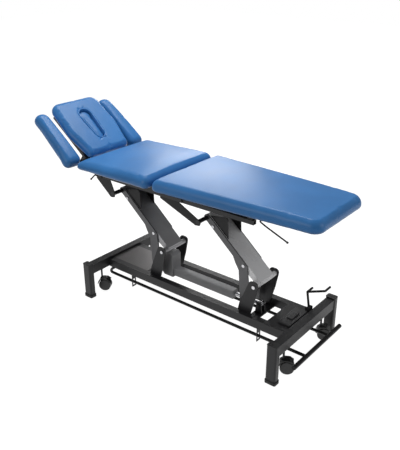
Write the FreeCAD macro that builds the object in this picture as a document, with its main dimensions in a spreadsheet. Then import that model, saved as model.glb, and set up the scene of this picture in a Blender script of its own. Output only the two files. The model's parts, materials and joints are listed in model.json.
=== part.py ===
import FreeCAD, Part
import math
import os
import re
import Sketcher

# Treatment table with a three-section top on a powder-coated base.
# X runs from the head end (-X) to the foot end (+X), Y across the table, +Z up, millimetres.
# The origin lies on the floor below the middle of the whole table as it stands at rest.
# Lengths along X are measured from the middle of the base, which stands BaseOffset ahead of the origin.

DRIVING = [
    ("BaseOffset", 123.95, "middle of the base ahead of the middle of the whole table"),
    ("RestGap", 0.3, "gap between pieces that rest on or beside each other"),
    ("RunClear", 0.05, "radial clearance of a turning fit"),
    ("TubeWall", 3, "wall of the square tubes"),
    ("FootX", 680, "middle of a leg from the middle of the base"),
    ("FootY", 300, "middle of a leg from the centre line"),
    ("LegLong", 60, "leg section along X"),
    ("LegWide", 40, "leg section along Y"),
    ("LegTop", 228, "top of the leg tube"),
    ("LegRound", 10, "corner radius of the leg tube"),
    ("CapThick", 4, "leg cap"),
    ("PadHigh", 20, "height of the rubber foot"),
    ("PadEdge", 3, "how far the rubber foot stands out round the leg"),
    ("CrossWide", 50, "end cross-member along X"),
    ("CrossHigh", 60, "end cross-member height"),
    ("CrossTop", 222, "top of the end cross-member"),
    ("RailY", 125, "middle of a side rail"),
    ("RailWide", 40, "side rail width"),
    ("RailHigh", 50, "side rail height"),
    ("RailTop", 208, "top of the side rail"),
    ("HeadPivotX", -236, "base pivot of the head lift arm"),
    ("FootPivotX", 420, "base pivot of the foot lift arm"),
    ("PivotZ", 374, "height of both base pivots"),
    ("ShaftRadius", 10, "base pivot shaft"),
    ("ShaftEnd", 6, "radius of the turned-down shaft end"),
    ("BoltHead", 10, "radius of a pivot bolt head"),
    ("BoltHigh", 6, "height of a pivot bolt head"),
    ("BracketThick", 6, "lift bracket plate"),
    ("BracketTop", 30, "bracket top above the pivot"),
    ("BracketDrop", 40, "bracket foot below the rail top"),
    ("ArmLength", 457, "from base pivot to top pivot"),
    ("ArmAngle", 40.7, "rise of the lift arms at rest"),
    ("ArmHalf", 62, "half width of the arm channel"),
    ("ArmPlate", 8, "thickness of the arm side plates"),
    ("ArmTop", 22, "top of the arm above the line of its pivots"),
    ("ArmLow", 16, "underside of the arm below the line of its pivots"),
    ("WebThick", 4, "arm channel sheet"),
    ("Sleeve", 19, "radius of the pivot sleeves"),
    ("KneeAlong", 126, "knee bolt from the base pivot, along the arm"),
    ("UpperBolt", 61, "upper bolt short of the top pivot, along the arm"),
    ("CrankAlong", 35.5, "crank pin past the base pivot, along the arm"),
    ("CrankDrop", 179, "crank pin below the line of the pivots"),
    ("CrankRound", 22, "radius of the crank end"),
    ("CrankBoss", 15, "radius of the boss that holds the actuator"),
    ("GussetHigh", 84, "height of the arm gusset above the web"),
    ("TopPin", 12, "radius of the cross tube at the top pivots"),
    ("FrameY", 150, "middle of a top frame rail"),
    ("FrameWide", 25, "top frame rail width"),
    ("FrameHigh", 24, "top frame rail height"),
    ("FrameLow", 762, "underside of the top frame"),
    ("CushionLow", 837, "underside of the mid and leg cushions"),
    ("SectionWide", 24, "width of the section frame rails"),
    ("LegFrameLow", 803, "underside of the leg section frame"),
    ("HeadRailHigh", 22, "height of the head section rails"),
    ("BoltShank", 5, "radius of the arm bolts"),
    ("BoltFace", 9, "radius of the arm bolt heads"),
    ("FrameStart", -700, "head end of the top frame"),
    ("FrameEnd", 441, "foot end of the top frame"),
    ("PadThick", 70, "thickness of the leg and mid cushions"),
    ("PadRound", 30, "edge radius of the cushions"),
    ("MidStart", -722, "head end of the mid cushion"),
    ("MidEnd", -160, "seam end of the mid cushion"),
    ("MidHalf", 298, "half width of the mid cushion"),
    ("SeamGap", 12, "gap between the mid and leg cushions"),
    ("LegEnd", 848, "foot end of the leg cushion"),
    ("LegHalf", 300, "half width of the leg cushion at the seam"),
    ("LegTip", 236, "half width of the leg cushion at the foot end"),
    ("CornerRound", 60, "plan radius of the cushion corners"),
    ("LegHingeX", -50, "hinge of the leg section"),
    ("LegHingeZ", 829, "height of that hinge"),
    ("LegFrameEnd", 519, "foot end of the leg section frame"),
    ("HingePin", 5, "radius of the section hinge pins"),
    ("LugThick", 6, "hinge lug plates"),
    ("HeadHingeX", -766, "hinge of the head section"),
    ("HeadHingeZ", 829, "height of that hinge"),
    ("HeadTilt", 38, "rise of the head section at rest"),
    ("HeadFrameY", 150, "middle of a head section rail"),
    ("HeadStart", 2, "lower end of the head cushion from its hinge"),
    ("HeadLong", 412, "length of the head cushion"),
    ("HeadTop", 78, "top of the head cushion above the hinge, square to it"),
    ("HeadThick", 60, "thickness of the head cushion"),
    ("HeadLowHalf", 158, "half width of the head cushion at its hinge end"),
    ("HeadMidHalf", 192, "half width of the head cushion where it is widest"),
    ("HeadEndHalf", 176, "half width of the head cushion at its outer end"),
    ("SlotStart", 104, "nose slot from the hinge"),
    ("SlotLong", 222, "length of the nose slot"),
    ("SlotWide", 64, "width of the nose slot at its outer end"),
    ("SlotNarrow", 46, "width of the nose slot at its hinge end"),
    ("PlugSink", 12, "top of the nose plug below the cushion"),
    ("RestInner", 200, "inner edge of an armrest"),
    ("RestOuter", 326, "outer edge of an armrest"),
    ("RestStart", 10, "hinge end of an armrest from the head hinge"),
    ("RestLong", 405, "length of an armrest"),
    ("RestTop", 32, "top of an armrest above the head hinge"),
    ("RestThick", 55, "thickness of an armrest"),
    ("RestPivot", 45, "armrest pivot from the head hinge"),
    ("RestRod", 9, "radius of the armrest pivot rod"),
    ("BarRadius", 9, "radius of the long foot bars"),
    ("BarY", 120, "middle of a long foot bar"),
    ("BarZ", 100, "height of the foot bar"),
    ("BarBend", 45, "bend of the foot bar at its head end"),
    ("BarStart", -700, "head end of the foot bar"),
    ("TreadX", 770, "tread bar beyond the foot end"),
    ("TreadHalf", 245, "half length of the tread bar"),
    ("TreadRadius", 12, "radius of the tread bar"),
    ("BarTravel", 12, "how far the foot bar moves up and down"),
    ("HangerX", 470, "foot bar hangers from the middle of the base"),
    ("CastorY", 195, "castor stem from the centre line"),
    ("WheelRadius", 38, "castor wheel"),
    ("WheelZ", 44, "castor axle height with the castors lifted"),
    ("WheelWide", 17, "width of one castor wheel"),
    ("Trail", 20, "castor axle behind its stem"),
    ("Heading", 30.5, "way the castors point at rest, in degrees from +X"),
    ("StemRadius", 6, "castor stem"),
    ("StemLow", 92, "bottom of the castor stem"),
    ("LeverBack", 44, "pivot of the castor lever short of the foot end legs"),
    ("LeverZ", 224, "height of that pivot"),
    ("LeverRod", 6.5, "radius of the castor lever rod"),
    ("MotorStart", -302, "head end of the actuator motor"),
    ("MotorEnd", -214, "foot end of the actuator motor"),
    ("MotorHalf", 40, "half width of the actuator motor"),
    ("TubeHalf", 26, "half width of the actuator tube"),
    ("TubeEnd", 226, "foot end of the actuator tube"),
    ("RodRadius", 11, "actuator rod"),
    ("ClevisX", 400, "base clevis of the actuator"),
    ("ScrewZ", 215, "height of the actuator axis"),
    ("LegSpringX", -8, "frame end of the leg gas spring"),
    ("LegSpringZ", 735, "height of that end"),
    ("LegLugX", 220, "moving end of the leg gas spring"),
    ("LegLugZ", 795, "height of that end"),
    ("HeadSpringX", -654, "frame end of the head gas spring"),
    ("HeadSpringZ", 772, "height of that end"),
    ("HeadLug", 69, "moving end of the head gas spring from the head hinge, up the slope"),
    ("HeadLugDrop", 30, "the same end below the hinge, square to the slope"),
    ("SpringRadius", 9, "gas spring cylinder"),
    ("SpringRod", 4, "gas spring rod"),
    ("SpringEye", 10, "thickness of the gas spring eyes"),
    ("SpringLug", 6, "thickness of the gas spring lugs"),
    ("SpringPin", 5, "radius of the gas spring pins"),
    ("BoxStart", -600, "head end of the control box"),
    ("BoxEnd", -380, "foot end of the control box"),
    ("BoxHalf", 95, "half width of the control box"),
    ("BoxLow", 130, "underside of the control box"),
    ("CoverSheet", 3, "sheet of the base covers"),
    ("HeadCoverEnd", -362, "foot end of the head end cover"),
    ("FootCoverStart", 515, "head end of the foot end cover"),
    ("SwitchX", 609, "middle of the foot switch"),
    ("SwitchLong", 74, "foot switch along X"),
    ("SwitchHalf", 92, "half width of the foot switch"),
    ("SwitchHigh", 12, "foot switch housing above the cover"),
    ("PedalLong", 34, "pedal well along X"),
    ("PedalHalf", 40, "half width of the pedal well"),
    ("HandleZ", 815, "axis of the leg release lever"),
    ("HandleX", 500, "the same axis along X"),
    ("HandleY", 200, "middle of that lever from the centre line"),
    ("CatchX", -690, "axis of the head release lever"),
    ("CatchZ", 776, "height of that axis"),
    ("HandleRod", 4, "radius of both release levers"),
]

doc = FreeCAD.newDocument("TreatmentTable")
sheet = doc.addObject("Spreadsheet::Sheet", "Sizes")
for row, (alias, amount, note) in enumerate(DRIVING, start=1):
    sheet.set("A%d" % row, alias)
    sheet.set("B%d" % row, str(amount))
    sheet.set("C%d" % row, note)
    sheet.setAlias("B%d" % row, alias)
doc.recompute()

PIECES = []


# An expression written with plain size names, bound to the sheet.
def size(text):
    return re.sub(r"\b([A-Z]\w+)", r"Sizes.\1", text)


# The number that such an expression has now.
def num(text):
    return float(sheet.evalExpression(size(text)))


# One body, shifted with the base or set on a tilted section.
def new_body(label, at=("0", "0", "0"), tilt=None, turn=None):
    body = doc.addObject("PartDesign::Body", label)
    body.Label = label
    body.AllowCompound = True
    if tilt:
        body.Placement.Rotation = FreeCAD.Rotation(FreeCAD.Vector(0, 1, 0), num(tilt))
        body.setExpression("Placement.Rotation.Angle", size(tilt))
    if turn:
        body.Placement.Rotation = FreeCAD.Rotation(FreeCAD.Vector(0, 0, 1), num(turn))
        body.setExpression("Placement.Rotation.Angle", size(turn))
    body.setExpression("Placement.Base.x", size("BaseOffset + (%s)" % at[0]))
    body.setExpression("Placement.Base.y", size(at[1]))
    body.setExpression("Placement.Base.z", size(at[2]))
    PIECES.append(body)
    return body


def plane_of(body, role):
    return [part for part in body.Origin.OriginFeatures if part.Role == role][0]


# A sketch on a plane of the body's own origin. XZ looks along +Y, so its offset counts towards -Y.
def new_sketch(body, role, at="0"):
    sketch = body.newObject("Sketcher::SketchObject", body.Label + "_sketch")
    sketch.AttachmentSupport = [(plane_of(body, role), "")]
    sketch.MapMode = "FlatFace"
    sketch.setExpression("AttachmentOffset.Base.z", size(at))
    return sketch


# Closed outline of straight edges, each corner held by two sizes.
def outline(sketch, corners):
    first = sketch.GeometryCount
    places = [FreeCAD.Vector(num(across), num(up), 0) for across, up in corners]
    count = len(places)
    for index in range(count):
        sketch.addGeometry(Part.LineSegment(places[index], places[(index + 1) % count]), False)
    for index in range(count):
        following = first + (index + 1) % count
        sketch.addConstraint(Sketcher.Constraint("Coincident", first + index, 2, following, 1))
    for index, (across, up) in enumerate(corners):
        for kind, text, amount in (("DistanceX", across, places[index].x),
                                   ("DistanceY", up, places[index].y)):
            held = sketch.addConstraint(Sketcher.Constraint(kind, -1, 1, first + index, 1, amount))
            sketch.setExpression("Constraints[%d]" % held, size(text))


def box_outline(sketch, left, right, low, high):
    outline(sketch, [(left, low), (right, low), (right, high), (left, high)])


def ring(sketch, across, up, radius):
    centre = FreeCAD.Vector(num(across), num(up), 0)
    index = sketch.addGeometry(Part.Circle(centre, FreeCAD.Vector(0, 0, 1), num(radius)), False)
    for kind, text, amount in (("DistanceX", across, centre.x), ("DistanceY", up, centre.y)):
        held = sketch.addConstraint(Sketcher.Constraint(kind, -1, 1, index, 3, amount))
        sketch.setExpression("Constraints[%d]" % held, size(text))
    held = sketch.addConstraint(Sketcher.Constraint("Radius", index, num(radius)))
    sketch.setExpression("Constraints[%d]" % held, size(radius))


def pad(body, sketch, length, middle=False):
    feature = body.newObject("PartDesign::Pad", body.Label + "_pad")
    feature.Profile = sketch
    feature.Midplane = middle
    feature.setExpression("Length", size(length))
    doc.recompute()
    return feature


# A cut has to remove material, so the volume is compared.
def pocket(body, sketch, length=None, middle=False, back=False):
    before = body.Shape.Volume
    feature = body.newObject("PartDesign::Pocket", body.Label + "_pocket")
    feature.Profile = sketch
    feature.Midplane = middle
    feature.Reversed = back
    if length:
        feature.setExpression("Length", size(length))
    else:
        feature.Type = "ThroughAll"
    doc.recompute()
    if body.Shape.Volume >= before:
        raise RuntimeError("%s: a pocket cuts nothing" % body.Label)
    return feature


def mirror(body, features, role="XZ_Plane"):
    feature = body.newObject("PartDesign::Mirrored", body.Label + "_mirror")
    feature.Originals = features
    feature.MirrorPlane = (plane_of(body, role), [""])
    body.Tip = feature
    doc.recompute()
    return feature


# Rounds the edges of the body's last feature that a test picks.
def round_edges(body, radius, wanted):
    base = body.Tip
    names = ["Edge%d" % (index + 1) for index, edge in enumerate(base.Shape.Edges) if wanted(edge)]
    if not names:
        raise RuntimeError("%s: no edge to round" % body.Label)
    feature = body.newObject("PartDesign::Fillet", body.Label + "_fillet")
    feature.Base = (base, names)
    feature.setExpression("Radius", size(radius))
    doc.recompute()
    return feature


def along(edge, axis):
    if edge.Curve.TypeId != "Part::GeomLine":
        return False
    start = edge.Vertexes[0].Point
    end = edge.Vertexes[-1].Point
    step = (end - start).normalize()
    return abs(getattr(step, axis)) > 0.999


# Edges along one axis that pass through one of the given corners, measured in the body's own frame.
def at_corners(axis, corners):
    others = [name for name in "xyz" if name != axis]
    spots = [(num(across), num(up)) for across, up in corners]

    def wanted(edge):
        if not along(edge, axis):
            return False
        point = edge.Vertexes[0].Point
        place = (getattr(point, others[0]), getattr(point, others[1]))
        return any(math.dist(place, spot) < 0.5 for spot in spots)
    return wanted


def at_height(level):
    height = num(level)

    def wanted(edge):
        return all(abs(vertex.Point.z - height) < 0.01 for vertex in edge.Vertexes)
    return wanted


# A rod bent through points, with a round bend of one radius at each inner point.
def rod_path(points, bend):
    edges = []
    start = points[0]
    for index in range(1, len(points) - 1):
        corner = points[index]
        back = (points[index - 1] - corner).normalize()
        ahead = (points[index + 1] - corner).normalize()
        half = back.getAngle(ahead) / 2
        reach = bend / math.tan(half)
        first = corner + back * reach
        last = corner + ahead * reach
        inward = (back + ahead).normalize()
        centre = corner + inward * (bend / math.sin(half))
        middle = centre - inward * bend
        edges.append(Part.LineSegment(start, first).toShape())
        edges.append(Part.Arc(first, middle, last).toShape())
        start = last
    edges.append(Part.LineSegment(start, points[-1]).toShape())
    return Part.Wire(edges)


def bent_rod(points, radius, bend):
    path = rod_path(points, bend)
    heading = points[1] - points[0]
    section = Part.Wire([Part.Circle(points[0], heading, radius).toShape()])
    return path.makePipeShell([section], True, True)


def cylinder(start, end, radius):
    heading = end - start
    return Part.makeCylinder(radius, heading.Length, start, heading)


# A piece whose form is worked out in code, from the sizes in the sheet.
def shaped(label, solid, at=("0", "0", "0"), tilt=None):
    feature = doc.addObject("Part::Feature", label)
    feature.Label = label
    feature.Shape = solid
    if tilt:
        feature.Placement.Rotation = FreeCAD.Rotation(FreeCAD.Vector(0, 1, 0), num(tilt))
        feature.setExpression("Placement.Rotation.Angle", size(tilt))
    feature.setExpression("Placement.Base.x", size("BaseOffset + (%s)" % at[0]))
    feature.setExpression("Placement.Base.y", size(at[1]))
    feature.setExpression("Placement.Base.z", size(at[2]))
    PIECES.append(feature)
    return feature


def spot(across, deep, up):
    return FreeCAD.Vector(num(across), num(deep), num(up))


# Base frame

def side_rails():
    body = new_body("side_rails")
    sketch = new_sketch(body, "YZ_Plane", "-(FootX - CrossWide / 2)")
    box_outline(sketch, "-RailY - RailWide / 2", "-RailY + RailWide / 2", "RailTop - RailHigh", "RailTop")
    box_outline(sketch, "-RailY - RailWide / 2 + TubeWall", "-RailY + RailWide / 2 - TubeWall",
                "RailTop - RailHigh + TubeWall", "RailTop - TubeWall")
    rail = pad(body, sketch, "2 * FootX - CrossWide")
    mirror(body, [rail])


def end_cross_members():
    body = new_body("end_cross_members")
    sketch = new_sketch(body, "XZ_Plane")
    box_outline(sketch, "FootX - CrossWide / 2", "FootX + CrossWide / 2", "CrossTop - CrossHigh", "CrossTop")
    box_outline(sketch, "FootX - CrossWide / 2 + TubeWall", "FootX + CrossWide / 2 - TubeWall",
                "CrossTop - CrossHigh + TubeWall", "CrossTop - TubeWall")
    tube = pad(body, sketch, "2 * FootY - LegWide", middle=True)
    sketch = new_sketch(body, "XY_Plane", "CrossTop - CrossHigh + TubeWall + 1")
    ring(sketch, "FootX", "-CastorY", "StemRadius + RestGap")
    ring(sketch, "FootX", "CastorY", "StemRadius + RestGap")
    holes = pocket(body, sketch, "TubeWall + 2")
    mirror(body, [tube, holes], "YZ_Plane")


# The four corners of the base, as signs of X and Y.
CORNERS = [("-", "-"), ("-", ""), ("", "-"), ("", "")]


def corner_boxes(label, grow, low, thick):
    body = new_body(label)
    for sign_x, sign_y in CORNERS:
        sketch = new_sketch(body, "XY_Plane", low)
        box_outline(sketch, "%s FootX - LegLong / 2 - %s" % (sign_x, grow),
                    "%s FootX + LegLong / 2 + %s" % (sign_x, grow),
                    "%s FootY - LegWide / 2 - %s" % (sign_y, grow),
                    "%s FootY + LegWide / 2 + %s" % (sign_y, grow))
        pad(body, sketch, thick)
    round_edges(body, "LegRound", lambda edge: along(edge, "z"))
    return body


def leg_posts():
    body = corner_boxes("leg_posts", "0", "PadHigh", "LegTop - PadHigh")
    for sign_x, sign_y in CORNERS:
        sketch = new_sketch(body, "XY_Plane", "PadHigh")
        box_outline(sketch, "%s FootX - LegLong / 2 + TubeWall" % sign_x,
                    "%s FootX + LegLong / 2 - TubeWall" % sign_x,
                    "%s FootY - LegWide / 2 + TubeWall" % sign_y,
                    "%s FootY + LegWide / 2 - TubeWall" % sign_y)
        pocket(body, sketch, back=True)


def leg_caps():
    body = corner_boxes("leg_caps", "1", "LegTop", "CapThick")
    round_edges(body, "CapThick / 2", at_height("LegTop + CapThick"))


def rubber_feet():
    body = corner_boxes("rubber_feet", "PadEdge", "0", "PadHigh")
    round_edges(body, "PadEdge", at_height("0"))


# Leaning plates that carry the base pivots, welded to the inner faces of the side rails.
def lift_brackets():
    body = new_body("lift_brackets")
    features = []
    tops = []
    for pivot in ("HeadPivotX", "FootPivotX"):
        corners = [(pivot + " - 108", "RailTop - BracketDrop"),
                   (pivot + " - 26", "RailTop - BracketDrop"),
                   (pivot + " + 8", "PivotZ - 84"),
                   (pivot + " + 30", "PivotZ + BracketTop"),
                   (pivot + " - 28", "PivotZ + BracketTop"),
                   (pivot + " - 90", "PivotZ - 124")]
        tops += corners[3:5]
        sketch = new_sketch(body, "XZ_Plane", "RailY - RailWide / 2 - BracketThick")
        outline(sketch, corners)
        ring(sketch, pivot, "PivotZ", "ShaftEnd")
        features.append(pad(body, sketch, "BracketThick"))
    mirror(body, features)
    round_edges(body, "22", at_corners("y", tops))


def pivot_shafts():
    body = new_body("pivot_shafts")
    between = "2 * (RailY - RailWide / 2 - BracketThick)"
    for pivot in ("HeadPivotX", "FootPivotX"):
        for radius, length in (("ShaftRadius", between),
                               ("ShaftEnd", between + " + 2 * BracketThick")):
            sketch = new_sketch(body, "XZ_Plane")
            ring(sketch, pivot, "PivotZ", radius)
            pad(body, sketch, length, middle=True)
        for side in ("RailY - RailWide / 2", "-(RailY - RailWide / 2) - BoltHigh"):
            sketch = new_sketch(body, "XZ_Plane", side)
            ring(sketch, pivot, "PivotZ", "BoltHead")
            pad(body, sketch, "BoltHigh")


# Plain blocks given by their limits along X, Y and Z.
def blocks(label, limits, both_sides=False, at=("0", "0", "0"), tilt=None):
    body = new_body(label, at, tilt)
    pads = []
    for left, right, near, far, low, high in limits:
        sketch = new_sketch(body, "XY_Plane", low)
        box_outline(sketch, left, right, near, far)
        pads.append(pad(body, sketch, "(%s) - (%s)" % (high, low)))
    if both_sides:
        mirror(body, pads)
    return body


def covers():
    inner = "RailY - RailWide / 2"
    sheet_low = "RailTop - CoverSheet"
    body = blocks("control_box", [("BoxStart", "BoxEnd", "-BoxHalf", "BoxHalf", "BoxLow", sheet_low)])
    round_edges(body, "6", lambda edge: along(edge, "z") or at_height("BoxLow")(edge))
    body = blocks("head_end_cover", [("-FootX + CrossWide / 2", "HeadCoverEnd", "-(%s)" % inner, inner,
                                      sheet_low, "RailTop")])
    round_edges(body, "2", at_corners("y", [("HeadCoverEnd", "RailTop")]))
    body = blocks("foot_end_cover", [("FootCoverStart", "FootX - CrossWide / 2", "-(%s)" % inner, inner,
                                      sheet_low, "RailTop")])
    round_edges(body, "2", at_corners("y", [("FootCoverStart", "RailTop")]))


# The foot switch: a low housing with a well, and a pedal that rocks on a bar along X in that well.
def foot_switch():
    housing_top = "RailTop + SwitchHigh"
    body = blocks("switch_housing", [("SwitchX - SwitchLong / 2", "SwitchX + SwitchLong / 2",
                                      "-SwitchHalf", "SwitchHalf", "RailTop", housing_top)])
    round_edges(body, "4", lambda edge: along(edge, "z") or at_height(housing_top)(edge))
    sketch = new_sketch(body, "XY_Plane", "RailTop + 3")
    box_outline(sketch, "SwitchX - PedalLong / 2", "SwitchX + PedalLong / 2", "-PedalHalf", "PedalHalf")
    pocket(body, sketch, back=True)
    left = "SwitchX - PedalLong / 2 + RestGap"
    body = blocks("switch_pedal", [(left, "SwitchX + PedalLong / 2 - RestGap", "-PedalHalf + 1",
                                    "PedalHalf - 1", "RailTop + 8", "RailTop + 18")])
    round_edges(body, "3", at_height("RailTop + 18"))
    sketch = new_sketch(body, "YZ_Plane", left)
    ring(sketch, "0", "RailTop + 6", "3 - RestGap")
    pad(body, sketch, "PedalLong - 2 * RestGap")


def foot_bar_hangers():
    body = new_body("foot_bar_hangers")
    pads = []
    for place in ("-HangerX", "HangerX"):
        sketch = new_sketch(body, "YZ_Plane", place)
        box_outline(sketch, "-BarY - 16", "-BarY + 16", "BarZ - 30", "RailTop - RailHigh")
        box_outline(sketch, "-BarY - BarRadius - RestGap", "-BarY + BarRadius + RestGap",
                    "BarZ - BarRadius - BarTravel - RestGap", "BarZ + BarRadius + BarTravel + RestGap")
        pads.append(pad(body, sketch, "4"))
    mirror(body, pads)


def castor_sockets():
    body = new_body("castor_sockets")
    for place in ("-FootX", "FootX"):
        for side in ("-CastorY", "CastorY"):
            sketch = new_sketch(body, "XY_Plane", "CrossTop - CrossHigh - 12")
            ring(sketch, place, side, "StemRadius + 5")
            ring(sketch, place, side, "StemRadius + RunClear")
            pad(body, sketch, "12")


def actuator_clevis():
    inner = "RailY - RailWide / 2"
    body = blocks("actuator_clevis", [("ClevisX - 30", "ClevisX + 30", "-(%s)" % inner, inner,
                                       "RailTop - RailHigh", "RailTop - RailHigh + 6")])
    lug = [("ClevisX - 22", "RailTop - RailHigh + 6"), ("ClevisX + 22", "RailTop - RailHigh + 6"),
           ("ClevisX + 14", "ScrewZ + 14"), ("ClevisX - 14", "ScrewZ + 14")]
    for side in ("12 + RestGap", "-(20 + RestGap)"):
        sketch = new_sketch(body, "XZ_Plane", side)
        outline(sketch, lug)
        pad(body, sketch, "8")
    sketch = new_sketch(body, "XZ_Plane")
    ring(sketch, "ClevisX", "ScrewZ", "7")
    pad(body, sketch, "48", middle=True)


# One tube bent into a long U below the rails, with the tread bar across its open end.
def foot_bar():
    corners = [spot("TreadX", "-BarY", "0"), spot("BarStart", "-BarY", "0"), spot("BarStart", "BarY", "0"),
               spot("TreadX", "BarY", "0")]
    solid = bent_rod(corners, num("BarRadius"), num("BarBend"))
    tread = cylinder(spot("TreadX", "-TreadHalf", "0"), spot("TreadX", "TreadHalf", "0"), num("TreadRadius"))
    shaped("foot_bar", solid.fuse(tread), ("0", "0", "BarZ"))


def castor_lever():
    pivot = "FootX - LeverBack"
    left = pivot + " - 14"
    right = pivot + " + 14"
    body = blocks("lever_lugs", [(left, right, "BarY - 17", "BarY - 11", "RailTop", "LeverZ + 10"),
                                 (left, right, "BarY + 11", "BarY + 17", "RailTop", "LeverZ + 10")])
    sketch = new_sketch(body, "XZ_Plane", "-BarY")
    ring(sketch, pivot, "LeverZ", "5")
    pad(body, sketch, "30", middle=True)
    rod = num("LeverRod")
    top = FreeCAD.Vector(-16, 0, 95)
    tip = FreeCAD.Vector(88, 0, 138)
    solid = cylinder(FreeCAD.Vector(0, -10.7, 0), FreeCAD.Vector(0, 10.7, 0), 11)
    for start, end in ((FreeCAD.Vector(0, 0, 0), top), (top, tip),
                       (top, top + FreeCAD.Vector(0, 52, 0)), (tip, tip + FreeCAD.Vector(0, 52, 0))):
        solid = solid.fuse(cylinder(start, end, rod))
        solid = solid.fuse(Part.makeSphere(rod, end))
    bore = cylinder(FreeCAD.Vector(0, -12, 0), FreeCAD.Vector(0, 12, 0), 5 + num("RunClear"))
    shaped("castor_lever", solid.cut(bore), (pivot, "BarY", "LeverZ"))


def castors():
    for name, place in (("head", "-FootX"), ("foot", "FootX")):
        body = blocks("castor_carrier_" + name,
                      [(place + " - 10", place + " + 10", "-CastorY - 15", "CastorY + 15", "190", "212")])
        for side in ("-CastorY", "CastorY"):
            sketch = new_sketch(body, "XY_Plane", "180")
            ring(sketch, place, side, "StemRadius + 4")
            pad(body, sketch, "10")
            sketch = new_sketch(body, "XY_Plane", "180")
            ring(sketch, place, side, "StemRadius + RunClear")
            pocket(body, sketch, "26", back=True)
    for index, (sign_x, sign_y) in enumerate(CORNERS, start=1):
        at = (sign_x + " FootX", sign_y + " CastorY", "0")
        body = new_body("castor_fork_%d" % index, at, turn="Heading")
        sketch = new_sketch(body, "XY_Plane", "StemLow")
        ring(sketch, "0", "0", "StemRadius")
        pad(body, sketch, "205 - StemLow")
        sketch = new_sketch(body, "XZ_Plane")
        outline(sketch, [("-9", "StemLow - 10"), ("-9", "StemLow"), ("Trail", "StemLow"),
                         ("Trail + 9", "WheelZ"), ("Trail", "WheelZ - 9"), ("Trail - 9", "WheelZ")])
        pad(body, sketch, "15", middle=True)
        sketch = new_sketch(body, "XZ_Plane")
        outline(sketch, [("Trail - 46", "WheelZ + 8"), ("Trail - 38", "WheelZ + 30"), ("Trail - 18", "WheelZ + 46"),
                         ("Trail + 14", "WheelZ + 46"), ("Trail + 34", "WheelZ + 32"),
                         ("Trail + 30", "WheelZ + 28"), ("Trail + 12", "WheelZ + 41"),
                         ("Trail - 16", "WheelZ + 41"), ("Trail - 34", "WheelZ + 26"), ("Trail - 41", "WheelZ + 8")])
        pad(body, sketch, "2 * (WheelWide + 8)", middle=True)
        sketch = new_sketch(body, "XZ_Plane")
        ring(sketch, "Trail", "WheelZ", "4 + RunClear")
        pocket(body, sketch, middle=True)
        body = new_body("castor_wheels_%d" % index, at, turn="Heading")
        sketch = new_sketch(body, "XZ_Plane")
        ring(sketch, "Trail", "WheelZ", "4")
        pad(body, sketch, "2 * (WheelWide + 8)", middle=True)
        for side in ("8", "-(8 + WheelWide)"):
            sketch = new_sketch(body, "XZ_Plane", side)
            ring(sketch, "Trail", "WheelZ", "WheelRadius")
            pad(body, sketch, "WheelWide")
        rims = [num("-8 - WheelWide"), num("8 + WheelWide"), -8, 8]
        round_edges(body, "4", lambda edge: edge.Curve.TypeId == "Part::GeomCircle"
                    and edge.Curve.Radius > 30 and any(abs(edge.Vertexes[0].Point.y - rim) < 0.1 for rim in rims))


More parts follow.
